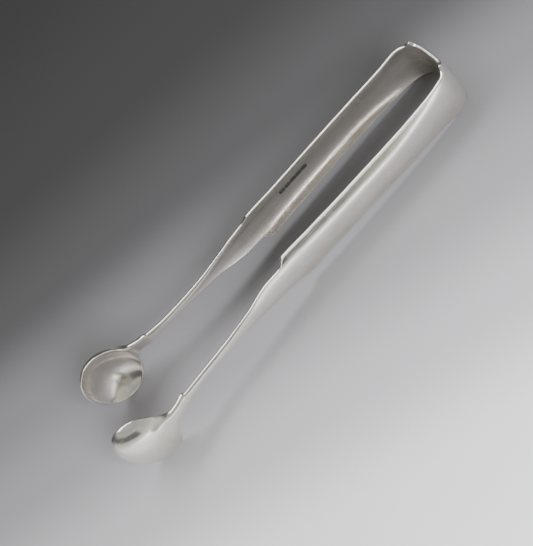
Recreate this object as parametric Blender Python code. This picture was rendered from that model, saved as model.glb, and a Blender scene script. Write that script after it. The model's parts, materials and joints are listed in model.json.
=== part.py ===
"""Ice tongs: a sprung bow, two dished arms and two oval bowls, lying on one side.

The tongs are designed in their own frame: +X towards the bow, +Y towards the left arm
and +Z across the strip. U is the distance back from the bow along -X. The whole is then
tipped by a small angle about Y, so that the bow's lower edge and the bowls' lower rims
touch the surface that the tongs lie on.
"""

import math

import bmesh
import bpy
import numpy as np
from mathutils import Matrix, Vector

MM = 0.001

# Driving dimensions, in millimetres.
LENGTH = 176.2  # back of the bow to the bowls' tips
SHOULDER_U = 85.3  # where the broad blade steps down to the stem
BOW_DEPTH = 13.4  # how far back each corner of the bow reaches
BOW_SQUARENESS = 3.5  # exponent of the bow's rounded corners: 2 is an ellipse
BLADE_SEAM_U = 22.0  # soldered seam of bow and arm, on the hinge axis
NECK_SEAM_U = 142.6  # soldered seam of arm and bowl
SEAM_GAP = 0.3
SECTION_POWER = 2.6  # how flat the middle of the dished section is

BOWL_RADIUS_ALONG = 12.2
BOWL_RADIUS_ACROSS = 14.6
BOWL_DEPTH = 7.6
BOWL_WALL = 1.1
BOWL_HALF_SPREAD = 16.0  # bowl's centre to the middle plane
BOWL_TOE_IN = math.radians(10.3)  # the rims close up towards the tips
BOWL_U = LENGTH - BOWL_RADIUS_ALONG * math.cos(BOWL_TOE_IN)

# Stations along one side: (u, half width).
HALF_WIDTH = (
    (0.0, 9.3),
    (3.0, 9.3),
    (8.0, 8.8),
    (14.0, 8.2),
    (24.0, 8.0),
    (50.0, 8.1),
    (70.0, 8.3),
    (SHOULDER_U - 4.0, 8.7),
    (SHOULDER_U - 2.6, 8.65),
    (SHOULDER_U - 1.0, 8.0),
    (SHOULDER_U + 0.4, 7.0),
    (SHOULDER_U + 1.8, 6.5),
    (SHOULDER_U + 4.0, 6.3),
    (SHOULDER_U + 9.0, 6.0),
    (SHOULDER_U + 14.0, 5.1),
    (SHOULDER_U + 20.0, 3.8),
    (SHOULDER_U + 28.0, 2.7),
    (SHOULDER_U + 38.0, 2.0),
    (SHOULDER_U + 50.0, 1.7),
    (NECK_SEAM_U, 2.0),
)
# (u, half width at which the dished form meets its edge line; the shoulders cut the
# strip narrower than this, so the dish runs on through them without a step).
FORM_WIDTH = (
    (0.0, 9.3),
    (3.0, 9.3),
    (8.0, 8.8),
    (14.0, 8.2),
    (24.0, 8.0),
    (50.0, 8.1),
    (70.0, 8.3),
    (SHOULDER_U - 4.0, 8.7),
    (SHOULDER_U + 4.0, 8.0),
    (SHOULDER_U + 9.0, 7.0),
    (SHOULDER_U + 14.0, 5.7),
    (SHOULDER_U + 20.0, 4.3),
    (SHOULDER_U + 28.0, 2.9),
    (SHOULDER_U + 38.0, 2.1),
    (SHOULDER_U + 50.0, 1.75),
    (NECK_SEAM_U, 2.0),
)
# (u, distance of the dished form's edge line from the middle plane).
EDGE_SPREAD = (
    (BOW_DEPTH, 12.4),
    (28.0, 12.7),
    (50.0, 12.7),
    (74.0, 12.45),
    (SHOULDER_U - 2.0, 12.4),
    (SHOULDER_U + 4.0, 12.5),
    (SHOULDER_U + 12.0, 12.95),
    (SHOULDER_U + 20.0, 13.6),
    (117.0, 14.2),
    (134.0, 15.2),
    (NECK_SEAM_U, 16.3),
)
# (u, rise of the strip's middle outside that edge line).
DISH = (
    (0.0, 0.3),
    (2.0, 0.8),
    (5.0, 1.4),
    (12.0, 1.8),
    (22.0, 2.3),
    (34.0, 2.8),
    (SHOULDER_U - 2.0, 2.7),
    (SHOULDER_U + 12.0, 1.7),
    (SHOULDER_U + 28.0, 0.6),
    (NECK_SEAM_U, 0.4),
)
# (u, thickness of the strip).
THICKNESS = (
    (0.0, 1.35),
    (SHOULDER_U, 1.3),
    (SHOULDER_U + 20.0, 1.7),
    (SHOULDER_U + 40.0, 2.3),
    (NECK_SEAM_U, 2.2),
)
# The bowl's tang, from the neck seam to the rim: (u, half width, thickness).
TANG = (
    (NECK_SEAM_U + SEAM_GAP, 2.8, 2.1),
    (NECK_SEAM_U + 1.5, 3.1, 2.1),
    (NECK_SEAM_U + 4.5, 2.8, 2.0),
    (NECK_SEAM_U + 8.0, 3.1, 1.9),
    (NECK_SEAM_U + 11.0, 4.2, 1.8),
    (NECK_SEAM_U + 13.4, 5.4, 1.7),
)

ACROSS_STEPS = 10
SIDES = {"left": 1.0, "right": -1.0}
SILVER = (0.78, 0.76, 0.72, 1.0)


def clear_scene():
    """Removes every object that the file holds."""
    for obj in list(bpy.data.objects):
        bpy.data.objects.remove(obj, do_unlink=True)


def silver(name, shade, roughness):
    """A plain polished silver for one piece."""
    material = bpy.data.materials.new(name)
    material.use_nodes = True
    shader = material.node_tree.nodes["Principled BSDF"]
    colour = tuple(c * shade for c in SILVER[:3]) + (1.0,)
    shader.inputs["Base Color"].default_value = colour
    shader.inputs["Metallic"].default_value = 1.0
    shader.inputs["Roughness"].default_value = roughness
    material.diffuse_color = colour
    return material


def smooth(stations, at, column=1):
    """A monotone cubic through the stations' values, read at one or more u."""
    x = np.array([s[0] for s in stations], float)
    y = np.array([s[column] for s in stations], float)
    step, rise = np.diff(x), np.diff(y) / np.diff(x)
    slope = np.zeros_like(y)
    for i in range(1, len(x) - 1):
        if rise[i - 1] * rise[i] > 0:
            before, after = 2 * step[i] + step[i - 1], step[i] + 2 * step[i - 1]
            slope[i] = (before + after) / (before / rise[i - 1] + after / rise[i])
    slope[0], slope[-1] = rise[0], rise[-1]
    at = np.clip(np.atleast_1d(at).astype(float), x[0], x[-1])
    i = np.clip(np.searchsorted(x, at, side="right") - 1, 0, len(x) - 2)
    t = (at - x[i]) / step[i]
    return (
        (1 + 2 * t) * (1 - t) ** 2 * y[i]
        + t * (1 - t) ** 2 * step[i] * slope[i]
        + t * t * (3 - 2 * t) * y[i + 1]
        + t * t * (t - 1) * step[i] * slope[i + 1]
    )


def edge_path(start_u, end_u, steps):
    """(u, y) of the left edges from one u to another past the bow's corner."""
    u = np.linspace(start_u, end_u, steps)
    return np.column_stack([u, smooth(EDGE_SPREAD, u)])


def corner_path(steps):
    """(u, y) of the left half of the bow, from its back to where the arm runs straight."""
    turn = np.linspace(0.0, math.pi / 2, steps)
    power = 2.0 / BOW_SQUARENESS
    spread = EDGE_SPREAD[0][1]
    u = BOW_DEPTH * (1 - np.abs(np.cos(turn)) ** power)
    return np.column_stack([u, spread * np.sin(turn) ** power])


def even_path(path, count):
    """The same path with points at an even pitch along it."""
    run = np.concatenate([[0], np.cumsum(np.linalg.norm(np.diff(path, axis=0), axis=1))])
    at = np.linspace(0, run[-1], count)
    return np.column_stack([np.interp(at, run, path[:, k]) for k in (0, 1)])


def outward(path):
    """Unit normals of a left-hand path that is followed from the bow to the tips."""
    ahead = np.gradient(path, axis=0)
    normal = np.column_stack([-ahead[:, 1], ahead[:, 0]])
    return normal / np.linalg.norm(normal, axis=1)[:, None]


def section_loop(point, normal, half_width, form_width, dish, thickness):
    """One closed loop of the dished strip: its outer face, then its inner face back."""
    across = np.sin(np.linspace(-math.pi / 2, math.pi / 2, ACROSS_STEPS + 1))
    share = half_width / form_width
    rise = dish * (1 - np.abs(across * share) ** SECTION_POWER)
    loop = []
    for face, order in ((0.5, 1), (-0.5, -1)):
        for a, r in zip(across[::order], rise[::order]):
            u, y = point + normal * (r + face * thickness)
            loop.append((-u, y, a * half_width))
    return loop


def loft(name, loops, material, flip):
    """A closed solid through loops of equal length, capped at both ends."""
    mesh = bmesh.new()
    rings = [[mesh.verts.new(Vector(p) * MM) for p in loop] for loop in loops]
    size = len(rings[0])
    half = size // 2
    for a, b in zip(rings, rings[1:]):
        for i in range(size):
            j = (i + 1) % size
            mesh.faces.new((a[i], a[j], b[j], b[i]))
    for i in range(half - 1):
        for ring in (rings[0], rings[-1]):
            mesh.faces.new((ring[i], ring[i + 1], ring[size - 2 - i], ring[size - 1 - i]))
    bmesh.ops.recalc_face_normals(mesh, faces=mesh.faces)
    if flip:
        mirror_y(mesh)
    return finish(name, mesh, material)


def mirror_y(mesh):
    """Turns a left-hand piece into the right-hand one."""
    bmesh.ops.transform(mesh, matrix=Matrix.Scale(-1, 4, (0, 1, 0)), verts=mesh.verts)
    bmesh.ops.reverse_faces(mesh, faces=mesh.faces)


def finish(name, mesh, material):
    """An object in the scene from the bmesh, shaded smooth apart from its real edges."""
    data = bpy.data.meshes.new(name)
    mesh.to_mesh(data)
    mesh.free()
    data.shade_smooth()
    data.set_sharp_from_angle(angle=math.radians(40))
    data.materials.append(material)
    obj = bpy.data.objects.new(name, data)
    bpy.context.scene.collection.objects.link(obj)
    return obj


def strip_loops(path, half_width, form_width, dish, thickness):
    """Section loops along a left-hand path."""
    sizes = zip(path, outward(path), half_width, form_width, dish, thickness)
    return [section_loop(*size) for size in sizes]


def strip_sizes(u):
    """Half width, form width, dish and thickness of the strip at each u."""
    return [smooth(sizes, u) for sizes in (HALF_WIDTH, FORM_WIDTH, DISH, THICKNESS)]


def make_bow(material):
    """The sprung U, from one blade seam round to the other."""
    corner = corner_path(160)
    straight = edge_path(BOW_DEPTH, BLADE_SEAM_U - SEAM_GAP / 2, 12)[1:]
    half = even_path(np.vstack([corner, straight]), 28)
    half[0, 1] = 0.0
    other = half[::-1] * (1, -1)
    path = np.vstack([other, half[1:]])
    loops = strip_loops(path, *strip_sizes(path[:, 0]))
    return loft("bow_spring", loops, material, flip=False)


def make_arm(side, material):
    """One arm: the broad dished blade, its shoulders and the tapering stem."""
    blade = np.linspace(BLADE_SEAM_U + SEAM_GAP / 2, SHOULDER_U - 4.0, 16)
    shoulder = np.linspace(SHOULDER_U - 4.0, SHOULDER_U + 5.0, 15)[1:]
    stem = np.linspace(SHOULDER_U + 5.0, NECK_SEAM_U, 26)[1:]
    u = np.concatenate([blade, shoulder, stem])
    path = np.column_stack([u, smooth(EDGE_SPREAD, u)])
    loops = strip_loops(path, *strip_sizes(u))
    return loft(f"arm_{side}", loops, material, flip=SIDES[side] < 0)


def ellipsoid(along, depth, across, name, material):
    """A closed ellipsoid about the origin, its poles on the Y axis."""
    mesh = bmesh.new()
    bmesh.ops.create_uvsphere(mesh, u_segments=40, v_segments=20, radius=1.0)
    turn = Matrix.Rotation(math.pi / 2, 4, "X")
    scale = Matrix.Diagonal((along * MM, depth * MM, across * MM, 1.0))
    bmesh.ops.transform(mesh, matrix=scale @ turn, verts=mesh.verts)
    bmesh.ops.recalc_face_normals(mesh, faces=mesh.faces)
    return finish(name, mesh, material)


def helper(obj):
    """Keeps a cutter or a union's second body out of the finished tongs."""
    obj.hide_render = True
    obj.display_type = "WIRE"
    return obj


def cut_or_join(obj, other, operation):
    """Adds an exact Boolean of the object with a helper."""
    modifier = obj.modifiers.new(operation.title(), "BOOLEAN")
    modifier.operation = operation
    modifier.solver = "EXACT"
    modifier.object = helper(other)


def bowl_matrix(side):
    """Where a bowl's own frame lies in the tongs' frame."""
    sign = SIDES[side]
    place = Vector((-BOWL_U, sign * BOWL_HALF_SPREAD, 0.0)) * MM
    return Matrix.Translation(place) @ Matrix.Rotation(sign * BOWL_TOE_IN, 4, "Z")


def make_tang(side, material):
    """The short neck that the bowl is soldered on by, in the tongs' frame."""
    u = np.linspace(TANG[0][0], TANG[-1][0], 16)
    rim = BOWL_RADIUS_ALONG * math.cos(BOWL_TOE_IN)
    rim_y = BOWL_HALF_SPREAD + BOWL_RADIUS_ALONG * math.sin(BOWL_TOE_IN) + 0.9
    start = EDGE_SPREAD[-1]
    run = (start, (BOWL_U - rim, rim_y), (TANG[-1][0], rim_y + 1.6))
    path = np.column_stack([u, smooth(run, u)])
    width, dish = smooth(TANG, u), np.full(len(u), 0.4)
    loops = strip_loops(path, width, width, dish, smooth(TANG, u, 2))
    return loft(f"tang_{side}", loops, material, flip=SIDES[side] < 0)


def make_bowl(side, material):
    """One cupped bowl: the lower half of an oval shell, joined to its tang."""
    sign = SIDES[side]
    place = bowl_matrix(side)
    bowl = ellipsoid(
        BOWL_RADIUS_ALONG, BOWL_DEPTH, BOWL_RADIUS_ACROSS, f"bowl_{side}", material
    )
    keep_outer_half(bowl, sign)
    inner = ellipsoid(
        BOWL_RADIUS_ALONG - BOWL_WALL,
        BOWL_DEPTH - BOWL_WALL,
        BOWL_RADIUS_ACROSS - BOWL_WALL,
        f"bowl_inside_{side}",
        material,
    )
    bowl.matrix_world = place
    inner.matrix_world = place
    cut_or_join(bowl, make_tang(side, material), "UNION")
    cut_or_join(bowl, inner, "DIFFERENCE")
    return bowl


def keep_outer_half(obj, sign):
    """Cuts the ellipsoid at the rim plane, with a flat face there."""
    mesh = bmesh.new()
    mesh.from_mesh(obj.data)
    cut = bmesh.ops.bisect_plane(
        mesh,
        geom=mesh.verts[:] + mesh.edges[:] + mesh.faces[:],
        plane_co=(0, 0, 0),
        plane_no=(0, -sign, 0),
        clear_outer=True,
    )
    rim = [e for e in cut["geom_cut"] if isinstance(e, bmesh.types.BMEdge)]
    bmesh.ops.edgeloop_fill(mesh, edges=rim)
    bmesh.ops.recalc_face_normals(mesh, faces=mesh.faces)
    mesh.to_mesh(obj.data)
    mesh.free()


def hinge_empty(side):
    """An empty on one arm's flexing axis, at the blade seam."""
    empty = bpy.data.objects.new(f"flex_axis_{side}", None)
    empty.empty_display_size = 10 * MM
    bpy.context.scene.collection.objects.link(empty)
    edge = float(smooth(EDGE_SPREAD, BLADE_SEAM_U)[0])
    rise = float(smooth(DISH, BLADE_SEAM_U)[0])
    empty.location = Vector((-BLADE_SEAM_U, SIDES[side] * (edge + rise / 2), 0.0)) * MM
    return empty


def lay_down():
    """An empty that holds the tongs as they lie: bow's edge and bowls' rims on Z = 0."""
    bow_drop = HALF_WIDTH[0][1]
    bow_x = THICKNESS[0][1] / 2
    bowl_drop = BOWL_RADIUS_ACROSS
    tip = math.atan2(bowl_drop - bow_drop, bow_x + BOWL_U)
    pose = bpy.data.objects.new("tongs_pose", None)
    pose.empty_display_size = 20 * MM
    bpy.context.scene.collection.objects.link(pose)
    lift = bow_drop * math.cos(tip) + bow_x * math.sin(tip)
    reach = bow_x * math.cos(tip) + bow_drop * math.sin(tip)
    pose.rotation_euler = (0.0, tip, 0.0)
    pose.location = ((LENGTH - reach) / 2 * MM, 0.0, lift * MM)
    return pose


def adopt(child, parent):
    """Parents a piece without moving it in the parent's unposed frame."""
    child.parent = parent
    child.matrix_parent_inverse = Matrix.Translation(-parent.location)


def main():
    """Builds the tongs."""
    clear_scene()
    pose = lay_down()
    bow = make_bow(silver("bow_silver", 1.0, 0.16))
    bow.parent = pose
    arm_silver = silver("arm_silver", 0.97, 0.18)
    bowl_silver = silver("bowl_silver", 0.94, 0.14)
    for side in SIDES:
        hinge = hinge_empty(side)
        adopt(make_arm(side, arm_silver), hinge)
        bowl = make_bowl(side, bowl_silver)
        for piece in (bowl, *(m.object for m in bowl.modifiers)):
            adopt(piece, hinge)
        hinge.parent = pose
    bpy.context.view_layer.update()


main()
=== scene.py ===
"""Looks for the silver ice tongs: sprung bow, dished arms, cupped bowls and punch marks.

Shapes are worked out in the tongs' own frame, in millimetres: +X towards the bow, +Y
towards the left arm and +Z across the strip. U is the distance back from the bow along
-X. TongsFrame carries them to the row frame, in metres.
"""

import json
import logging
import math
from collections.abc import Callable, Sequence
from dataclasses import dataclass
from enum import Enum

import bpy
import numpy as np
from mathutils import Matrix, Vector


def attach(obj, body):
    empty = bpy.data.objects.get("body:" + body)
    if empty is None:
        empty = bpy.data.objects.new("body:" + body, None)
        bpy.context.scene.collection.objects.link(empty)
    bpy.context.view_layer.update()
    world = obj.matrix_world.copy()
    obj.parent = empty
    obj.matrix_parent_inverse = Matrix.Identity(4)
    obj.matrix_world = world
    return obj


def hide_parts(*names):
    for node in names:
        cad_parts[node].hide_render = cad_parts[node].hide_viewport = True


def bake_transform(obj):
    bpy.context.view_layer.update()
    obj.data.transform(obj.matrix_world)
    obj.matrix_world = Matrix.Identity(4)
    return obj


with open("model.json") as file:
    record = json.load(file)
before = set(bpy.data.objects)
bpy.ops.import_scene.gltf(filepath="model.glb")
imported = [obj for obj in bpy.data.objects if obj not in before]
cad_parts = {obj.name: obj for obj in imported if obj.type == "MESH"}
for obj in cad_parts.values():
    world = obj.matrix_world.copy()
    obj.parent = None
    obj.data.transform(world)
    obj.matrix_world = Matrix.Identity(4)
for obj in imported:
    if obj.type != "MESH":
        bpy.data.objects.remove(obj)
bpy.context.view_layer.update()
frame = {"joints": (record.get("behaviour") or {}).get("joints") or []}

MM = 0.001
log = logging.getLogger("ice_tongs")

Array = np.ndarray
Colour = tuple[float, float, float]
Stops = tuple[tuple[float, Colour], ...]

# Half widths of the bow and the blades, which the arms' outline and form both start with.
BLADE_WIDTHS = (
    (0.0, 9.3),
    (3.0, 9.3),
    (8.0, 8.8),
    (14.0, 8.2),
    (24.0, 8.0),
    (50.0, 8.1),
    (70.0, 8.3),
    (81.3, 8.7),
)


class Side(Enum):
    """The two arms, by the sign of their Y."""

    LEFT = 1.0
    RIGHT = -1.0

    @property
    def word(self) -> str:
        """The side's name in lower case."""
        return self.name.lower()

    @property
    def body(self) -> str:
        """The frame's body that this side's arm and bowl ride on."""
        return f"{self.word}_arm"


@dataclass(frozen=True)
class Profile:
    """A size that changes along the tongs, as stations of (u, value) in millimetres."""

    stations: tuple[tuple[float, float], ...]

    def __call__(self, at: Array) -> Array:
        """Reads the size anywhere along the tongs by a monotone cubic.

        Args:
            at: Values of u.

        Returns:
            The size at each u, held level past the first and the last station.
        """
        x, y = np.array(self.stations, float).T
        step, rise = np.diff(x), np.diff(y) / np.diff(x)
        slope = np.concatenate([[rise[0]], np.zeros(len(x) - 2), [rise[-1]]])
        for i in range(1, len(x) - 1):
            if rise[i - 1] * rise[i] > 0:
                before = 2 * step[i] + step[i - 1]
                after = step[i] + 2 * step[i - 1]
                slope[i] = (before + after) / (before / rise[i - 1] + after / rise[i])
        at = np.clip(np.asarray(at, float), x[0], x[-1])
        i = np.clip(np.searchsorted(x, at, side="right") - 1, 0, len(x) - 2)
        t = (at - x[i]) / step[i]
        return (
            (1 + 2 * t) * (1 - t) ** 2 * y[i]
            + t * (1 - t) ** 2 * step[i] * slope[i]
            + t * t * (3 - 2 * t) * y[i + 1]
            + t * t * (t - 1) * step[i] * slope[i + 1]
        )


@dataclass(frozen=True)
class TongsFrame:
    """Carries points from the tongs' own frame to the row frame."""

    tip: float
    offset: tuple[float, float, float]

    @classmethod
    def from_joint(cls, joint: dict, seam_u: float) -> "TongsFrame":
        """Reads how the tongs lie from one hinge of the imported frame.

        Args:
            joint: The left arm's hinge, with its place and axis.
            seam_u: Where that hinge stands along the tongs, in millimetres.

        Returns:
            The frame whose hinge line is the joint's.
        """
        axis = Vector(joint["axis"]).normalized()
        tip = math.atan2(axis.x, axis.z)
        place = Vector(joint["pos_m"]) / MM
        hinge = Matrix.Rotation(tip, 3, "Y") @ Vector((-seam_u, place.y, 0.0))
        return cls(tip, tuple(place - hinge))

    @property
    def matrix(self) -> Matrix:
        """The turn and shift, both in millimetres."""
        return Matrix.Translation(self.offset) @ Matrix.Rotation(self.tip, 4, "Y")

    def to_row(self, points: Array) -> Array:
        """Turns points in millimetres into row-frame points in metres."""
        m = np.array(self.matrix)
        return (points @ m[:3, :3].T + m[:3, 3]) * MM


class Socket:
    """One value in a node tree, which Python's operators turn into Math nodes."""

    def __init__(self, tree: "Shader", link: bpy.types.NodeSocket) -> None:
        """Wraps an output socket of the shader's tree."""
        self.tree = tree
        self.link = link

    def _math(self, operation: str, *values: "Socket | float") -> "Socket":
        """Adds a Math node on the given values."""
        inputs = dict(enumerate(values))
        return self.tree.node("ShaderNodeMath", {"operation": operation}, inputs)

    def __add__(self, other: "Socket | float") -> "Socket":
        """The sum."""
        return self._math("ADD", self, other)

    __radd__ = __add__

    def __sub__(self, other: "Socket | float") -> "Socket":
        """The difference."""
        return self._math("SUBTRACT", self, other)

    def __rsub__(self, other: float) -> "Socket":
        """The difference from a plain number."""
        return self._math("SUBTRACT", other, self)

    def __mul__(self, other: "Socket | float") -> "Socket":
        """The product."""
        return self._math("MULTIPLY", self, other)

    __rmul__ = __mul__

    def ramp(self, low: float, high: float) -> "Socket":
        """Rises smoothly from 0 at low to 1 at high, or falls if high is below low.

        Args:
            low: Where the ramp is 0.
            high: Where it is 1.

        Returns:
            The ramp's value, held level outside the two.
        """
        settings = {"interpolation_type": "SMOOTHSTEP", "clamp": True}
        start, end, first, last = (low, high, 0.0, 1.0)
        if low > high:
            start, end, first, last = (high, low, 1.0, 0.0)
        inputs = {
            "Value": self,
            "From Min": start,
            "From Max": end,
            "To Min": first,
            "To Max": last,
        }
        return self.tree.node("ShaderNodeMapRange", settings, inputs, "Result")


class Shader:
    """A material's node tree, built one node at a time."""

    def __init__(self, name: str) -> None:
        """Makes an empty material of this name with a Principled shader.

        Args:
            name: The material's name.
        """
        self.material = bpy.data.materials.new(name)
        self.material.use_nodes = True
        self.nodes = self.material.node_tree.nodes
        self.links = self.material.node_tree.links
        self.principled = self.nodes["Principled BSDF"]

    @classmethod
    def of_tree(cls, tree: bpy.types.NodeTree) -> "Shader":
        """Wraps a tree that isn't a material's.

        Args:
            tree: A world's node tree.

        Returns:
            The wrapped tree, with no Principled shader.
        """
        made = cls.__new__(cls)
        made.nodes, made.links = tree.nodes, tree.links
        return made

    def blend_stops(self, at: Socket, stops: Stops) -> Socket:
        """A colour that runs smoothly through stops of (value, colour).

        Args:
            at: The value that chooses the colour.
            stops: Values in rising order, each with its colour.

        Returns:
            The colour.
        """
        tone: object = stops[0][1]
        for (low, _), (high, colour) in zip(stops, stops[1:]):
            tone = self.mix(at.ramp(low, high), tone, colour)
        return tone

    def node(
        self,
        kind: str,
        settings: dict | None = None,
        inputs: dict | None = None,
        output: str | int = 0,
    ) -> Socket:
        """Adds one node.

        Args:
            kind: The node's type name.
            settings: Its own settings, which are set before its sockets.
            inputs: Values or links of its sockets, by name or number.
            output: The output to hand back, by name or number.

        Returns:
            The chosen output, wrapped.
        """
        made = self.nodes.new(kind)
        for key, value in (settings or {}).items():
            setattr(made, key, value)
        for key, value in (inputs or {}).items():
            self.feed(made.inputs[key], value)
        return Socket(self, made.outputs[output])

    def feed(self, socket: bpy.types.NodeSocket, value: object) -> None:
        """Links a wrapped value to a socket, or sets a plain one on it."""
        if isinstance(value, Socket):
            self.links.new(value.link, socket)
        elif isinstance(value, tuple) and len(value) == 3 and socket.type == "RGBA":
            socket.default_value = (*value, 1.0)
        else:
            socket.default_value = value

    def surface(self, **values: object) -> None:
        """Feeds the Principled shader's sockets, whose names have _ for a space."""
        for key, value in values.items():
            self.feed(self.principled.inputs[key.replace("_", " ").title()], value)

    def attribute(self, name: str, output: str = "Fac") -> Socket:
        """Reads a value stored on the mesh."""
        return self.node("ShaderNodeAttribute", {"attribute_name": name}, {}, output)

    def stretched(self, vector: Socket, scale: Colour, turn: float = 0.0) -> Socket:
        """Scales a vector by axis after a turn about its third axis.

        Args:
            vector: The vector.
            scale: Its three factors.
            turn: The turn, in radians.

        Returns:
            The scaled vector.
        """
        rotation = (0.0, 0.0, turn)
        turned = self.node(
            "ShaderNodeMapping", {}, {"Vector": vector, "Rotation": rotation}
        )
        return self.node(
            "ShaderNodeVectorMath", {"operation": "MULTIPLY"}, {0: turned, 1: scale}
        )

    def noise(self, vector: Socket, scale: float, detail: float = 3.0) -> Socket:
        """Smooth noise from 0 to 1."""
        inputs = {"Vector": vector, "Scale": scale, "Detail": detail}
        return self.node("ShaderNodeTexNoise", {}, inputs)

    def mix(self, factor: Socket | float, a: object, b: object) -> Socket:
        """Mixes two colours.

        Args:
            factor: The share of the second.
            a: The first colour.
            b: The second colour.

        Returns:
            The mixed colour.
        """
        inputs = {0: factor, 6: a, 7: b}
        return self.node("ShaderNodeMix", {"data_type": "RGBA"}, inputs, 2)

    def bump(
        self, height: Socket, distance: float, normal: Socket | None = None
    ) -> Socket:
        """Turns a height into a normal.

        Args:
            height: The height, from 0 to 1.
            distance: The relief in metres.
            normal: The normal that it starts from, if not the surface's own.

        Returns:
            The new normal.
        """
        inputs = {"Height": height, "Distance": distance}
        if normal is not None:
            inputs["Normal"] = normal
        return self.node("ShaderNodeBump", {}, inputs)

    def axes(self, vector: Socket) -> tuple[Socket, ...]:
        """A vector's x, y and z."""
        inputs = {"Vector": vector}
        return tuple(
            self.node("ShaderNodeSeparateXYZ", {}, inputs, axis) for axis in "XYZ"
        )


@dataclass(frozen=True)
class SilverFinish:
    """Handled sterling silver: its polish, its scratches and its tarnish."""

    name: str
    silver: Colour = (0.94, 0.907, 0.85)
    tarnish: Colour = (0.66, 0.61, 0.52)
    metallic: float = 0.95
    polish: float = 0.13
    rub: float = 0.10
    tarnish_share: float = 0.35
    scratch_depth: float = 0.000006
    ripple_depth: float = 0.00010
    scratch_sets: tuple[tuple[float, float, float, float], ...] = (
        (0.0, 40.0, 5200.0, 1.0),
        (0.5, 90.0, 3600.0, 0.5),
        (-0.9, 80.0, 3000.0, 0.5),
    )

    def build(self) -> bpy.types.Material:
        """Makes the material.

        Returns:
            A metal whose scratches run mostly lengthwise, with rubbed patches, pits and
            tarnish that gathers away from the worn edges.
        """
        shader = Shader(self.name)
        run = shader.attribute("surface", "Vector")
        rest = shader.attribute("rest", "Vector")
        edge = shader.attribute("edge")
        cloud = shader.noise(rest, 55.0, 4.0)
        rubbed = shader.noise(rest, 140.0, 5.0)
        scratches = self._scratches(shader, run)
        pits = self._pits(shader, rest)
        old = cloud.ramp(0.42, 0.72) * (1.0 - edge) * self.tarnish_share
        dark = old + pits * 0.6
        colour = shader.mix(dark, self.silver, self.tarnish)
        rough = self.polish + rubbed.ramp(0.35, 0.75) * self.rub
        rough = rough + scratches * 0.10 + old * 0.12
        ripple = shader.noise(rest, 95.0, 2.0)
        relief = shader.bump(ripple, self.ripple_depth)
        fine = shader.bump(scratches - pits * 3.0, self.scratch_depth, relief)
        shader.surface(
            base_color=colour, metallic=self.metallic, roughness=rough, normal=fine
        )
        return shader.material

    def _scratches(self, shader: Shader, run: Socket) -> Socket:
        """Hairlines: a lengthwise set and two sparser sets across it.

        Args:
            shader: The material's tree.
            run: Place along, across and through the strip.

        Returns:
            How deep the hairlines are at each point.
        """
        total: Socket | None = None
        for turn, along, across, weight in self.scratch_sets:
            grain = shader.noise(
                shader.stretched(run, (along, across, 400.0), turn), 1.0, 2.0
            )
            lines = grain.ramp(0.60, 0.74) * weight
            total = lines if total is None else total + lines
        return total

    @staticmethod
    def _pits(shader: Shader, rest: Socket) -> Socket:
        """Sparse pin-prick pits.

        Args:
            shader: The material's tree.
            rest: Place at rest.

        Returns:
            1 in a pit, 0 outside.
        """
        cells = shader.node(
            "ShaderNodeTexVoronoi",
            {"feature": "F1"},
            {"Vector": rest, "Scale": 210.0},
            "Distance",
        )
        patch = shader.noise(rest, 60.0, 1.0)
        return cells.ramp(0.075, 0.035) * patch.ramp(0.52, 0.6)


@dataclass(frozen=True)
class PatinaFinish:
    """Silver with black in its hollows, as punched marks keep it."""

    name: str = "punched_silver"
    silver: Colour = (0.34, 0.33, 0.31)
    black: Colour = (0.02, 0.018, 0.017)

    def build(self) -> bpy.types.Material:
        """Makes the material, which reads how deep each point lies from the mesh.

        Returns:
            A metal that is black in its hollows.
        """
        shader = Shader(self.name)
        depth = shader.attribute("depth")
        grime = shader.noise(shader.attribute("rest", "Vector"), 2400.0, 3.0)
        dark = depth.ramp(0.05, 0.5) * (grime * 0.4 + 0.75)
        shader.surface(
            base_color=shader.mix(dark, self.silver, self.black),
            metallic=1.0 - dark * 0.85,
            roughness=dark * 0.35 + 0.25,
        )
        return shader.material


@dataclass(frozen=True)
class FloorFinish:
    """Plain matt paper whose colour carries painted light falloff: pale in front and greyer
    towards the back.
    """

    name: str = "pale_floor"
    slant: float = 0.3
    tooth_depth: float = 0.00003
    # Painted light falloff and painted shade: the colour runs from pale in front to near
    # black at the back, and the band around the tongs is set for the shade between the
    # arms.
    tones: Stops = (
        (-0.16, (0.84, 0.83, 0.86)),
        (-0.10, (0.78, 0.77, 0.80)),
        (-0.06, (0.50, 0.49, 0.52)),
        (-0.02, (0.33, 0.32, 0.34)),
        (0.02, (0.23, 0.225, 0.238)),
        (0.07, (0.085, 0.083, 0.088)),
        (0.14, (0.045, 0.045, 0.047)),
        (0.30, (0.03, 0.03, 0.032)),
    )

    def build(self) -> bpy.types.Material:
        """Makes the material, with a faint paper tooth.

        Returns:
            A matt surface whose painted light falloff follows its depth behind the front
            edge.
        """
        shader = Shader(self.name)
        place = shader.node("ShaderNodeTexCoord", {}, {}, "Object")
        x, y, _ = shader.axes(place)
        tooth = shader.noise(place, 900.0, 2.0)
        # The base colour below is the painted light falloff, read from the depth behind the
        # front edge.
        depth = y + x * self.slant
        shader.surface(
            base_color=shader.blend_stops(depth, self.tones),
            roughness=0.75,
            normal=shader.bump(tooth, self.tooth_depth),
        )
        return shader.material


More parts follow.
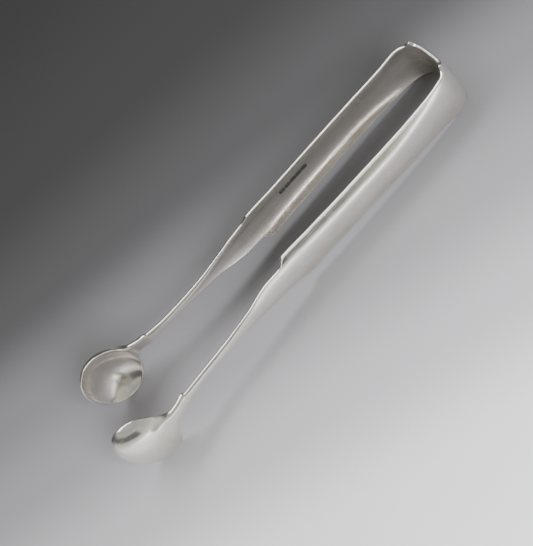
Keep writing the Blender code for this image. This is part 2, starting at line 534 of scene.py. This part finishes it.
class MeshMaker:
    """Turns arrays of points and faces into finished objects."""

    @staticmethod
    def piece(
        name: str, points: Array, faces: Array, material: bpy.types.Material
    ) -> bpy.types.Object:
        """Makes a smooth-shaded object.

        Args:
            name: The piece's name.
            points: Vertices in the row frame, in metres.
            faces: Corner numbers, four to a face.
            material: The finish.

        Returns:
            The object, linked to the scene.
        """
        mesh = bpy.data.meshes.new(name)
        mesh.from_pydata(points.tolist(), [], faces.tolist())
        mesh.validate()
        mesh.shade_smooth()
        mesh.materials.append(material)
        MeshMaker.store(mesh, "rest", points)
        piece = bpy.data.objects.new(name, mesh)
        bpy.context.scene.collection.objects.link(piece)
        return piece

    @staticmethod
    def store(mesh: bpy.types.Mesh, name: str, values: Array) -> None:
        """Stores a number or a vector for each vertex.

        Args:
            mesh: The mesh.
            name: The name that a finish reads it by.
            values: One number or row for each vertex.
        """
        kind = "FLOAT_VECTOR" if values.ndim == 2 else "FLOAT"
        made = mesh.attributes.new(name, kind, "POINT")
        target = "vector" if values.ndim == 2 else "value"
        made.data.foreach_set(target, values.astype(np.float32).ravel())

    @staticmethod
    def grid_faces(rows: int, columns: int, closed: bool, flip: bool) -> Array:
        """Quads over a grid of points.

        Args:
            rows: How many rows of points there are.
            columns: How many points there are in a row.
            closed: Whether each row's last point joins its first.
            flip: Whether to turn the faces round.

        Returns:
            Corner numbers, four to a face.
        """
        i = np.arange(rows - 1)[:, None] * columns
        j = np.arange(columns if closed else columns - 1)[None, :]
        k = (j + 1) % columns
        quads = np.stack([i + j, i + k, i + columns + k, i + columns + j], axis=-1)
        quads = quads.reshape(-1, 4)
        return quads[:, ::-1] if flip else quads


@dataclass(frozen=True)
class StripSide:
    """Half of the bow with one arm: a dished strip from the bow's back to the neck."""

    frame: TongsFrame
    bow_depth: float = 13.4
    bow_squareness: float = 3.5
    shoulder_u: float = 85.3
    seam_u: float = 22.0
    neck_u: float = 142.6
    tuck: float = 1.0
    section_power: float = 2.6
    ear_run: float = 8.9
    ear_height: float = 1.0
    ear_length: float = 1.1
    ear_dip: float = 0.5
    dip_after: float = 3.4
    dip_length: float = 2.2
    face_points: int = 23
    edge_points: int = 9
    sections: int = 300
    spread: Profile = Profile(
        (
            (13.4, 12.4),
            (28.0, 12.7),
            (50.0, 12.7),
            (74.0, 12.45),
            (83.3, 12.4),
            (89.3, 12.5),
            (97.3, 12.95),
            (105.3, 13.6),
            (117.0, 14.2),
            (134.0, 15.2),
            (142.6, 16.3),
            (144.2, 16.5),
        )
    )
    half_width: Profile = Profile(
        BLADE_WIDTHS
        + (
            (82.7, 8.65),
            (84.3, 8.0),
            (85.7, 7.0),
            (87.1, 6.5),
            (89.3, 6.3),
            (94.3, 6.0),
            (99.3, 5.1),
            (105.3, 3.8),
            (113.3, 2.7),
            (123.3, 2.0),
            (135.3, 1.7),
            (142.6, 2.0),
        )
    )
    form_width: Profile = Profile(
        BLADE_WIDTHS
        + (
            (89.3, 8.0),
            (94.3, 7.0),
            (99.3, 5.7),
            (105.3, 4.3),
            (113.3, 2.9),
            (123.3, 2.1),
            (135.3, 1.75),
            (142.6, 2.0),
        )
    )
    dish: Profile = Profile(
        (
            (0.0, 0.3),
            (2.0, 0.8),
            (5.0, 1.4),
            (12.0, 1.8),
            (22.0, 2.3),
            (34.0, 2.8),
            (83.3, 2.7),
            (97.3, 1.7),
            (113.3, 0.6),
            (142.6, 0.4),
        )
    )
    thickness: Profile = Profile(
        ((0.0, 1.35), (85.3, 1.3), (105.3, 1.7), (125.3, 2.3), (142.6, 2.2))
    )
    edge_round: Profile = Profile(((0.0, 0.45), (90.0, 0.45), (112.0, 1.2), (142.6, 1.4)))
    edge_squareness: Profile = Profile(((0.0, 3.2), (90.0, 3.2), (112.0, 2.1)))

    def path(self) -> Array:
        """The line of the strip's edges as (u, y), from the bow's back to the neck.

        Returns:
            One point for each section, closest together at the shoulder.
        """
        turn = np.linspace(0.0, math.pi / 2, 400)
        power = 2.0 / self.bow_squareness
        spread = float(self.spread(np.array([self.bow_depth]))[0])
        corner = np.column_stack(
            [
                self.bow_depth * (1 - np.cos(turn) ** power),
                spread * np.sin(turn) ** power,
            ]
        )
        u = np.linspace(self.bow_depth, self.neck_u + self.tuck, 900)[1:]
        line = np.vstack([corner, np.column_stack([u, self.spread(u)])])
        run = self._distance(line)
        at = self._stations(run, line[:, 0])
        return np.column_stack([np.interp(at, run, line[:, k]) for k in (0, 1)])

    @staticmethod
    def _distance(line: Array) -> Array:
        """How far along a line each of its points is."""
        steps = np.linalg.norm(np.diff(line, axis=0), axis=1)
        return np.concatenate([[0], np.cumsum(steps)])

    def _stations(self, run: Array, u: Array) -> Array:
        """Distances along the path where sections stand, closest at the shoulder.

        Args:
            run: How far along each point of the line is.
            u: Where that point stands along the tongs.

        Returns:
            The distances.
        """
        fine = np.exp(-(((u - self.shoulder_u) / 3.5) ** 2)) * 3.0
        bend = np.exp(-((u / 16.0) ** 2)) * 1.2
        density = 0.55 + fine + bend
        total = np.concatenate(
            [[0], np.cumsum((density[1:] + density[:-1]) / 2 * np.diff(run))]
        )
        return np.interp(np.linspace(0, total[-1], self.sections), total, run)

    def normals(self, path: Array) -> Array:
        """Unit outward normals of the path, true to the mirror plane at its start.

        Args:
            path: Points as (u, y).

        Returns:
            One normal for each point.
        """
        mirrored = np.vstack([path[1] * (1, -1), path])
        ahead = np.gradient(mirrored, axis=0)[1:]
        normal = np.column_stack([-ahead[:, 1], ahead[:, 0]])
        return normal / np.linalg.norm(normal, axis=1)[:, None]

    def section(self, u: Array) -> tuple[Array, Array, Array]:
        """The strip's section at each u.

        Args:
            u: Where the sections stand.

        Returns:
            For each section, the loop's offsets outward, its heights across the strip,
            and how near each of its points is to an edge, from 0 to 1.
        """
        w, t = self.half_width(u)[:, None], self.thickness(u)[:, None]
        form, dish = self.form_width(u)[:, None], self.dish(u)[:, None]
        reach = np.minimum(self.edge_round(u)[:, None], w * 0.75)
        limit = 1 - reach / w
        face = np.sin(np.linspace(-1, 1, self.face_points) * math.pi / 2)
        across = face[None, :] * limit
        turn = np.linspace(math.pi / 2, -math.pi / 2, self.edge_points + 2)[1:-1]
        power = 2.0 / self.edge_squareness(u)[:, None]
        out = np.abs(np.cos(turn)) ** power
        lift = np.sign(np.sin(turn)) * np.abs(np.sin(turn)) ** power
        offsets, heights, near = [], [], []
        for rows, sign in ((across, 1), (across[:, ::-1], -1)):
            offsets.append(self._dished(rows * w, form, dish) + sign * t / 2)
            heights.append(rows * w)
            near.append(np.abs(face)[None, :] ** 8 * np.ones_like(w))
            end = self._dished(limit * w, form, dish)
            offsets.append(end + sign * lift * t / 2)
            heights.append(sign * (limit * w + reach * out))
            near.append(np.ones((len(u), len(turn))))
        return tuple(np.concatenate(part, axis=1) for part in (offsets, heights, near))

    def _dished(self, height: Array, form: Array, dish: Array) -> Array:
        """How far the middle surface stands outside its edge line."""
        return dish * (1 - (np.abs(height) / form) ** self.section_power)

    def inner_point(self, u: Array, across: Array, lift: Array) -> Array:
        """Points just off the inner face of the left arm, in the tongs' frame.

        Args:
            u: Distance back from the bow.
            across: Height across the strip.
            lift: Height off the face, into the gap between the arms.

        Returns:
            One point for each set of values.
        """
        rise = self._dished(across, self.form_width(u), self.dish(u))
        out = self.spread(u) + rise - self.thickness(u) / 2 - lift
        return np.stack([-u, out, across], axis=-1)

    def build(self, side: Side, material: bpy.types.Material) -> bpy.types.Object:
        """Makes the piece and hides the imported bow and arm that it stands in for.

        Args:
            side: Which arm.
            material: The finish.

        Returns:
            The finished piece.
        """
        path = self.path()
        normals = self.normals(path)
        offsets, heights, near = self.section(path[:, 0])
        run = self._distance(path)
        upper = np.clip(heights / BLADE_WIDTHS[0][1], 0, 1) ** 2
        heights = heights + self._ears(run)[:, None] * upper
        rows, columns = offsets.shape
        u = path[:, 0:1] + normals[:, 0:1] * offsets
        y = path[:, 1:2] + normals[:, 1:2] * offsets
        points = np.stack([-u, y * side.value, heights], axis=-1).reshape(-1, 3)
        flip = side is Side.RIGHT
        faces = MeshMaker.grid_faces(rows, columns, True, flip)
        caps = self._caps(rows, columns, flip)
        name = f"bow_and_arm_{side.word}"
        piece = MeshMaker.piece(
            name, self.frame.to_row(points), np.vstack([faces, caps]), material
        )
        along = np.repeat(run[:, None], columns, axis=1)
        surface = np.stack([along, heights, offsets], axis=-1).reshape(-1, 3) * MM
        MeshMaker.store(piece.data, "surface", surface)
        MeshMaker.store(piece.data, "edge", near.ravel())
        self._sharpen_caps(piece.data)
        self._row_point(4.0)
        self._row_point(2 * self.seam_u - 4.0)
        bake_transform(piece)
        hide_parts("bow_spring", f"arm_{side.word}")
        return piece

    def _ears(self, run: Array) -> Array:
        """How much the upper edge stands up where the strip is folded at the bow.

        Args:
            run: How far along the strip each section is.

        Returns:
            The rise of each section's upper edge.
        """
        past = run - self.ear_run
        peak = self.ear_height * np.exp(-((past / self.ear_length) ** 2))
        dip = np.exp(-(((past - self.dip_after) / self.dip_length) ** 2))
        return peak - self.ear_dip * dip

    def _row_point(self, u: float) -> tuple[float, float, float]:
        """The middle plane's point at u, in the row frame."""
        return tuple(self.frame.to_row(np.array([[-u, 0.0, 0.0]]))[0].tolist())

    def _caps(self, rows: int, columns: int, flip: bool) -> Array:
        """Quads that close the strip's two ends.

        Args:
            rows: How many sections there are.
            columns: How many points a section has.
            flip: Whether to turn the faces round.

        Returns:
            Corner numbers, four to a face.
        """
        half = columns // 2
        i = np.arange(half - 1)
        first = np.stack([i + 1, i, columns - 1 - i, columns - 2 - i], axis=1)
        first = (first - (self.edge_points + 1) // 2) % columns
        last = first[:, ::-1] + (rows - 1) * columns
        both = np.vstack([first, last])
        return both[:, ::-1] if flip else both

    @staticmethod
    def _sharpen_caps(mesh: bpy.types.Mesh) -> None:
        """Keeps the flat ends from bending the shading of the faces beside them."""
        mesh.set_sharp_from_angle(angle=math.radians(60))


class SurfaceNet:
    """Meshes a solid given by a distance-like function, negative inside."""

    def __init__(
        self, solid: Callable[[Array], Array], low: Sequence, high: Sequence, step: float
    ) -> None:
        """Keeps the function and the box of cells, in millimetres.

        Args:
            solid: The function of points.
            low: The box's lowest corner.
            high: Its highest corner.
            step: The side of a cell.
        """
        self.solid = solid
        self.low = np.array(low, float)
        self.step = step
        self.count = np.ceil((np.array(high) - self.low) / step).astype(int) + 1

    def mesh(self) -> tuple[Array, Array]:
        """Makes the surface.

        Returns:
            Vertices that lie on the true surface, and quads that face outward.
        """
        axes = [self.low[k] + self.step * np.arange(self.count[k]) for k in range(3)]
        grid = np.stack(np.meshgrid(*axes, indexing="ij"), axis=-1)
        value = self.solid(grid.reshape(-1, 3)).reshape(self.count)
        total, hits = self._crossings(value)
        cells = np.argwhere(hits > 0)
        number = np.full(hits.shape, -1)
        number[tuple(cells.T)] = np.arange(len(cells))
        share = total[tuple(cells.T)] / hits[tuple(cells.T)][:, None]
        points = self.low + (cells + share) * self.step
        return self._settle(points), self._faces(value, number)

    def _crossings(self, value: Array) -> tuple[Array, Array]:
        """Sums, for each cell, where the surface cuts its edges, and counts the cuts.

        Args:
            value: The function at each grid point.

        Returns:
            The summed places, in cells, and the counts.
        """
        shape = tuple(np.array(value.shape) - 1)
        total, hits = np.zeros(shape + (3,)), np.zeros(shape)
        for axis in range(3):
            others = [k for k in range(3) if k != axis]
            for a in (0, 1):
                for b in (0, 1):
                    start = [slice(0, -1)] * 3
                    for k, corner in zip(others, (a, b)):
                        start[k] = slice(1, None) if corner else slice(0, -1)
                    end = list(start)
                    end[axis] = slice(1, None)
                    v0, v1 = value[tuple(start)], value[tuple(end)]
                    cut = (v0 < 0) != (v1 < 0)
                    gap = np.where(cut, v0 - v1, 1.0)
                    place = np.zeros(shape + (3,))
                    place[..., axis] = v0 / gap
                    place[..., others[0]], place[..., others[1]] = a, b
                    total += place * cut[..., None]
                    hits += cut
        return total, hits

    @staticmethod
    def _faces(value: Array, number: Array) -> Array:
        """A quad across each grid edge that the surface cuts.

        Args:
            value: The function at each grid point.
            number: Each cell's vertex, or -1.

        Returns:
            Corner numbers, four to a face, facing outward.
        """
        quads = []
        for axis in range(3):
            b, c = (axis + 1) % 3, (axis + 2) % 3
            inner = [slice(1, -1)] * 3
            inner[axis] = slice(0, -1)
            after = list(inner)
            after[axis] = slice(1, None)
            v0, v1 = value[tuple(inner)], value[tuple(after)]
            at = np.argwhere((v0 < 0) != (v1 < 0))
            leaving = v0[tuple(at.T)] < 0
            at = at + np.array([0 if k == axis else 1 for k in range(3)])
            corners = []
            for db, dc in ((0, 0), (1, 0), (1, 1), (0, 1)):
                cell = at.copy()
                cell[:, b] -= 1 - db
                cell[:, c] -= 1 - dc
                corners.append(number[tuple(cell.T)])
            quad = np.stack(corners, axis=1)
            quad[~leaving] = quad[~leaving][:, ::-1]
            quads.append(quad)
        return np.vstack(quads)

    def gradient(self, points: Array) -> Array:
        """The function's slope at each point.

        Args:
            points: Points in millimetres.

        Returns:
            One vector for each point.
        """
        small = 1e-3
        slope = np.zeros_like(points)
        for k in range(3):
            shift = np.zeros(3)
            shift[k] = small
            ahead, behind = self.solid(points + shift), self.solid(points - shift)
            slope[:, k] = (ahead - behind) / (2 * small)
        return slope

    def _settle(self, points: Array) -> Array:
        """Moves points onto the true surface."""
        for _ in range(4):
            slope = self.gradient(points)
            square = np.maximum((slope**2).sum(axis=1), 1e-6)
            move = slope * (self.solid(points) / square)[:, None]
            length = np.linalg.norm(move, axis=1)
            limit = np.minimum(1.0, self.step / np.maximum(length, 1e-9))
            points = points - move * limit[:, None]
        return points


@dataclass(frozen=True)
class Bowl:
    """One oval cup on its tang, blended where the neck runs into the back of the cup."""

    frame: TongsFrame
    strip: StripSide
    length: float = 176.2
    radius_along: float = 12.2
    radius_across: float = 14.6
    depth: float = 7.6
    wall: float = 1.0
    half_spread: float = 16.0
    toe_in: float = math.radians(10.3)
    lip: float = 0.75
    rim_round: float = 0.5
    tang_spread: float = 16.3
    tang_set_out: float = 0.9
    tang_set_in: float = 1.6
    tang_crown: float = 0.4
    tang_round: float = 1.1
    fullness: float = 0.78
    blend: float = 2.8
    cell: float = 0.3
    tang_width: Profile = Profile(
        (
            (142.6, 2.2),
            (143.2, 2.6),
            (144.4, 2.9),
            (147.1, 2.7),
            (150.6, 3.1),
            (153.6, 4.2),
            (156.0, 5.4),
        )
    )
    tang_thickness: Profile = Profile(((142.6, 2.5), (150.6, 2.1), (156.0, 1.7)))

    @property
    def centre_u(self) -> float:
        """The middle of the rim along the tongs."""
        return self.length - self.radius_along * math.cos(self.toe_in)

    def local(self, points: Array) -> Array:
        """Points in the cup's own frame: along, outward depth and across.

        Args:
            points: Points on the left side, in the tongs' frame.

        Returns:
            The same points, about the middle of the rim.
        """
        x = points[:, 0] + self.centre_u
        y = points[:, 1] - self.half_spread
        c, s = math.cos(self.toe_in), math.sin(self.toe_in)
        return np.column_stack([c * x + s * y, c * y - s * x, points[:, 2]])

    @staticmethod
    def ellipsoid(points: Array, radii: Sequence[float]) -> Array:
        """A distance-like value of an ellipsoid about the origin.

        Args:
            points: Points about its centre.
            radii: Its three radii.

        Returns:
            One value for each point, negative inside.
        """
        r = np.array(radii)
        near = np.linalg.norm(points / r, axis=1)
        far = np.maximum(np.linalg.norm(points / r**2, axis=1), 1e-9)
        return near * (near - 1) / far

    def hollow(self, place: Array) -> Array:
        """The cup's inside, which opens out to a thin lip at the rim.

        Args:
            place: Points in the cup's own frame.

        Returns:
            One value for each point, negative in the hollow.
        """
        along, across = self.radius_along - self.lip, self.radius_across - self.lip
        reach = np.hypot(place[:, 0] / along, place[:, 2] / across)
        room = np.maximum(1 - reach**2, 0.0) + 1e-4
        deepest = self.depth - self.wall
        floor = deepest * room**self.fullness
        sides = (reach - 1) * min(along, across)
        slope = 2 * self.fullness * deepest * reach
        steep = np.sqrt(1 + (slope * room ** (self.fullness - 1) / across) ** 2)
        return np.maximum((place[:, 1] - floor) / steep, sides)

    @staticmethod
    def both(a: Array, b: Array, blend: float) -> Array:
        """What two solids share, with the edge rounded over a width of blend."""
        h = np.maximum(blend - np.abs(a - b), 0) / blend
        return np.maximum(a, b) + h * h * blend / 4

    @classmethod
    def either(cls, a: Array, b: Array, blend: float) -> Array:
        """Two solids joined, with the inner corner filled over a width of blend."""
        return -cls.both(-a, -b, blend)

    def tang(self, points: Array) -> Array:
        """The short neck that runs from the stem into the back of the cup.

        Args:
            points: Points on the left side, in the tongs' frame.

        Returns:
            One value for each point, negative inside.
        """
        u = -points[:, 0]
        rim_u = self.centre_u - self.radius_along * math.cos(self.toe_in)
        rim_y = self.half_spread + self.radius_along * math.sin(self.toe_in)
        rim_y += self.tang_set_out
        last = self.tang_width.stations[-1][0]
        run = Profile(
            (
                (self.strip.neck_u, self.tang_spread),
                (rim_u, rim_y),
                (last, rim_y + self.tang_set_in),
            )
        )
        small = 0.05
        slope = (run(u + small) - run(u - small)) / (2 * small)
        w, t = self.tang_width(u), self.tang_thickness(u)
        flare = (self.tang_width(u + small) - self.tang_width(u - small)) / (2 * small)
        rise = self.tang_crown * (1 - np.clip(np.abs(points[:, 2]) / w, 0, 1) ** 2)
        off = (points[:, 1] - run(u)) / np.sqrt(1 + slope**2) - rise
        faces = np.abs(off) - t / 2
        sides = (np.abs(points[:, 2]) - w) / np.sqrt(1 + flare**2)
        ends = np.maximum(self.strip.neck_u - u, u - last)
        return self.both(self.both(faces, sides, self.tang_round), ends, self.rim_round)

    def solid(self, points: Array) -> Array:
        """The whole bowl as one distance-like function of points on the left side.

        Args:
            points: Points in the tongs' frame.

        Returns:
            One value for each point, negative inside.
        """
        place = self.local(points)
        outer = self.ellipsoid(
            place, (self.radius_along, self.depth, self.radius_across)
        )
        inner = self.hollow(place)
        cup = self.both(outer, -place[:, 1], self.rim_round)
        joined = self.either(cup, self.tang(points), self.blend)
        return self.both(joined, -inner, self.rim_round)

    def build(self, side: Side, material: bpy.types.Material) -> bpy.types.Object:
        """Makes the piece.

        Args:
            side: Which arm it is on.
            material: The finish.

        Returns:
            The finished piece, riding on its arm.
        """
        room = 1.0
        low = (-self.length - room, self.half_spread - 3.5, -self.radius_across - room)
        high = (
            -self.strip.neck_u + room,
            self.half_spread + self.depth + 3.0,
            self.radius_across + room,
        )
        points, faces = SurfaceNet(self.solid, low, high, self.cell).mesh()
        place = self.local(points)
        around = np.arctan2(place[:, 2], place[:, 0]) * self.radius_across
        radius = np.hypot(place[:, 0] / self.radius_along, place[:, 2] / self.radius_across)
        surface = np.column_stack([around, radius * self.radius_across, place[:, 1]])
        rim = np.exp(-((place[:, 1] / 0.5) ** 2)) * (radius > 0.8)
        if side is Side.RIGHT:
            points, faces = points * (1, -1, 1), faces[:, ::-1]
        name = f"cupped_bowl_{side.word}"
        piece = MeshMaker.piece(name, self.frame.to_row(points), faces, material)
        MeshMaker.store(piece.data, "surface", surface * MM)
        MeshMaker.store(piece.data, "edge", rim)
        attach(piece, side.body)
        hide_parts(f"bowl_{side.word}")
        return piece


class Device(Enum):
    """Plain geometric punches, none of them a letter."""

    LOZENGE = "lozenge"
    DOTS = "dots"
    ROSETTE = "rosette"
    BARS = "bars"
    RING = "ring"


@dataclass(frozen=True)
class PunchMarks:
    """A short row of plain punches on the inner face of the left arm."""

    frame: TongsFrame
    strip: StripSide
    first_u: float = 56.6
    pitch: float = 2.9
    across: float = 1.3
    slant: float = 0.02
    half_length: float = 1.42
    half_height: float = 0.95
    relief: float = 0.06
    skirt: float = 0.05
    grid: int = 30

    def relief_of(self, device: Device, a: Array, b: Array) -> Array:
        """How high the punch stands at each point, from 0 in its hollow to 1.

        Args:
            device: Which punch.
            a: Place along the punch, from -1 to 1.
            b: Place across it, from -1 to 1.

        Returns:
            Heights from 0 to 1.
        """
        r = np.hypot(a * 1.3, b)
        if device is Device.LOZENGE:
            shape = 0.62 - (np.abs(a) + np.abs(b))
        elif device is Device.DOTS:
            spots = ((-0.4, -0.25), (0.4, -0.25), (0.0, 0.35))
            shape = 0.26 - np.min([np.hypot((a - x) * 1.3, b - y) for x, y in spots], 0)
        elif device is Device.ROSETTE:
            shape = 0.42 + 0.16 * np.cos(5 * np.arctan2(b, a * 1.3)) - r
        elif device is Device.BARS:
            shape = 0.12 - np.abs(np.abs(b) - 0.28) - np.maximum(np.abs(a) - 0.55, 0)
        else:
            shape = 0.13 - np.abs(r - 0.42)
        device_height = np.clip(shape / 0.12 + 0.5, 0, 1)
        border = np.clip((self.outline(a, b) - 0.84) / 0.10, 0, 1)
        return np.maximum(device_height * 0.9, border)

    @staticmethod
    def outline(a: Array, b: Array) -> Array:
        """How far out each point lies, reaching 1 on a square with rounded corners."""
        return (np.abs(a) ** 5 + np.abs(b) ** 5) ** 0.2

    def build(self, material: bpy.types.Material) -> list[bpy.types.Object]:
        """Makes the row.

        Args:
            material: The finish.

        Returns:
            The punches, riding on the left arm.
        """
        made = []
        line = np.linspace(-1, 1, self.grid)
        a, b = np.meshgrid(line, line, indexing="ij")
        for number, device in enumerate(Device):
            middle = self.first_u + number * self.pitch
            high = self.relief_of(device, a, b)
            edge = np.clip((1.0 - self.outline(a, b)) / 0.06, -1, 1)
            lift = self.relief * (0.35 + 0.65 * high) * np.maximum(edge, 0)
            lift = lift - self.skirt * (edge <= 0)
            u = middle + a * self.half_length
            z = self.across + b * self.half_height + self.slant * (u - self.first_u)
            points = self.strip.inner_point(u, z, lift).reshape(-1, 3)
            faces = MeshMaker.grid_faces(self.grid, self.grid, False, False)
            piece = MeshMaker.piece(
                f"punch_{device.value}", self.frame.to_row(points), faces, material
            )
            MeshMaker.store(piece.data, "depth", 1.0 - high.ravel())
            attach(piece, Side.LEFT.body)
            made.append(piece)
        return made


@dataclass(frozen=True)
class Softbox:
    """One soft white light: where it stands and faces, in metres, and its watts."""

    name: str
    place: tuple[float, float, float]
    size: tuple[float, float]
    power: float
    target: tuple[float, float, float]
    mirrored: bool = True

    def build(self) -> bpy.types.Object:
        """Makes the light, which the silver reflects only if it is mirrored.

        Returns:
            The light, linked to the scene.
        """
        data = bpy.data.lights.new(self.name, "AREA")
        data.shape, data.size, data.size_y = "RECTANGLE", *self.size
        data.energy = self.power
        light = bpy.data.objects.new(self.name, data)
        light.location = self.place
        light.rotation_mode = "QUATERNION"
        way = Vector(self.target) - Vector(self.place)
        light.rotation_quaternion = way.to_track_quat("-Z", "Y")
        light.visible_glossy = self.mirrored
        bpy.context.scene.collection.objects.link(light)
        return light


@dataclass(frozen=True)
class Studio:
    """The floor, the room, the soft lights and the camera."""

    floor_half: float = 3.0
    floor_gap: float = 0.00002
    eye: tuple[float, float, float] = (0.0575, -0.2205, 0.2574)
    heading: float = math.radians(-16.09)
    pitch: float = math.radians(47.57)
    roll: float = math.radians(-60.81)
    focal_length: float = 62.03
    sensor: float = 36.0
    front_tones: Stops = (
        (0.0, (0.74, 0.71, 0.67)),
        (0.12, (0.70, 0.68, 0.63)),
        (0.30, (0.50, 0.51, 0.43)),
        (0.62, (0.42, 0.43, 0.37)),
        (0.85, (0.34, 0.345, 0.32)),
        (1.0, (0.45, 0.45, 0.44)),
    )
    back_tones: Stops = (
        (0.0, (0.03, 0.03, 0.032)),
        (0.45, (0.05, 0.05, 0.052)),
        (0.70, (0.42, 0.42, 0.42)),
        (1.0, (0.45, 0.45, 0.44)),
    )
    curtain: Colour = (0.05, 0.05, 0.05)
    lights: tuple[Softbox, ...] = (
        Softbox("top_softbox", (-0.2, 0.72, 1.4), (1.7, 0.5), 13.5, (0.0, 0.0, 0.0)),
        Softbox(
            "floor_softbox", (0.15, -0.5, 0.3), (0.3, 0.3), 8.0, (0.1, -0.42, 0.0), False
        ),
    )

    def floor(self, material: bpy.types.Material) -> bpy.types.Object:
        """Makes the surface that the tongs lie on.

        Args:
            material: Its finish.

        Returns:
            The floor.
        """
        h = self.floor_half
        points = np.array([(-h, -h, 0), (h, -h, 0), (h, h, 0), (-h, h, 0)], float)
        points[:, 2] -= self.floor_gap
        floor = MeshMaker.piece("floor", points, np.array([(0, 1, 2, 3)]), material)
        return floor

    def camera(self) -> bpy.types.Object:
        """Makes the camera, rolled as a hand-held one is.

        Returns:
            The camera, which the scene then looks through.
        """
        data = bpy.data.cameras.new("camera")
        data.lens, data.sensor_width = self.focal_length, self.sensor
        data.clip_start, data.clip_end = 0.01, 20.0
        camera = bpy.data.objects.new("camera", data)
        level = Matrix.Rotation(-self.heading, 3, "Z") @ Matrix.Rotation(
            math.pi / 2 - self.pitch, 3, "X"
        )
        turn = level @ Matrix.Rotation(self.roll, 3, "Z")
        camera.matrix_world = Matrix.Translation(self.eye) @ turn.to_4x4()
        bpy.context.scene.collection.objects.link(camera)
        bpy.context.scene.camera = camera
        return camera

    def room(self) -> None:
        """Surrounds the table: pale walls in front with a dark curtain, a dark back."""
        world = bpy.data.worlds.new("room")
        world.use_nodes = True
        tree = Shader.of_tree(world.node_tree)
        way = tree.node("ShaderNodeTexCoord", {}, {}, "Generated")
        x, y, z = tree.axes(way)
        front = tree.blend_stops(z, self.front_tones)
        back = tree.blend_stops(z, self.back_tones)
        hung = z.ramp(0.11, 0.20) * z.ramp(0.60, 0.46) * x.ramp(0.10, -0.12)
        front = tree.mix(hung, front, self.curtain)
        tone = tree.mix(y.ramp(-0.1, 0.45), front, back)
        tree.feed(tree.nodes["Background"].inputs["Color"], tone)
        bpy.context.scene.world = world

    def build(self) -> None:
        """Sets the whole studio up."""
        self.floor(FloorFinish().build())
        self.camera()
        self.room()
        for light in self.lights:
            light.build()


def main() -> None:
    """Builds the tongs and the studio."""
    logging.basicConfig(level=logging.INFO, format="%(name)s: %(message)s")
    left_hinge = next(j for j in frame["joints"] if j["name"] == "flex_left")
    tongs = TongsFrame.from_joint(left_hinge, StripSide.seam_u)
    strip = StripSide(tongs)
    bowl = Bowl(tongs, strip)
    arm_silver = SilverFinish("arm_silver").build()
    bowl_silver = SilverFinish("bowl_silver", tarnish_share=0.45).build()
    for side in Side:
        for piece in (strip.build(side, arm_silver), bowl.build(side, bowl_silver)):
            log.info("%s: %d faces", piece.name, len(piece.data.polygons))
    for piece in PunchMarks(tongs, strip).build(PatinaFinish().build()):
        log.info("%s: %d faces", piece.name, len(piece.data.polygons))
    Studio().build()


if __name__ == "__main__":
    main()
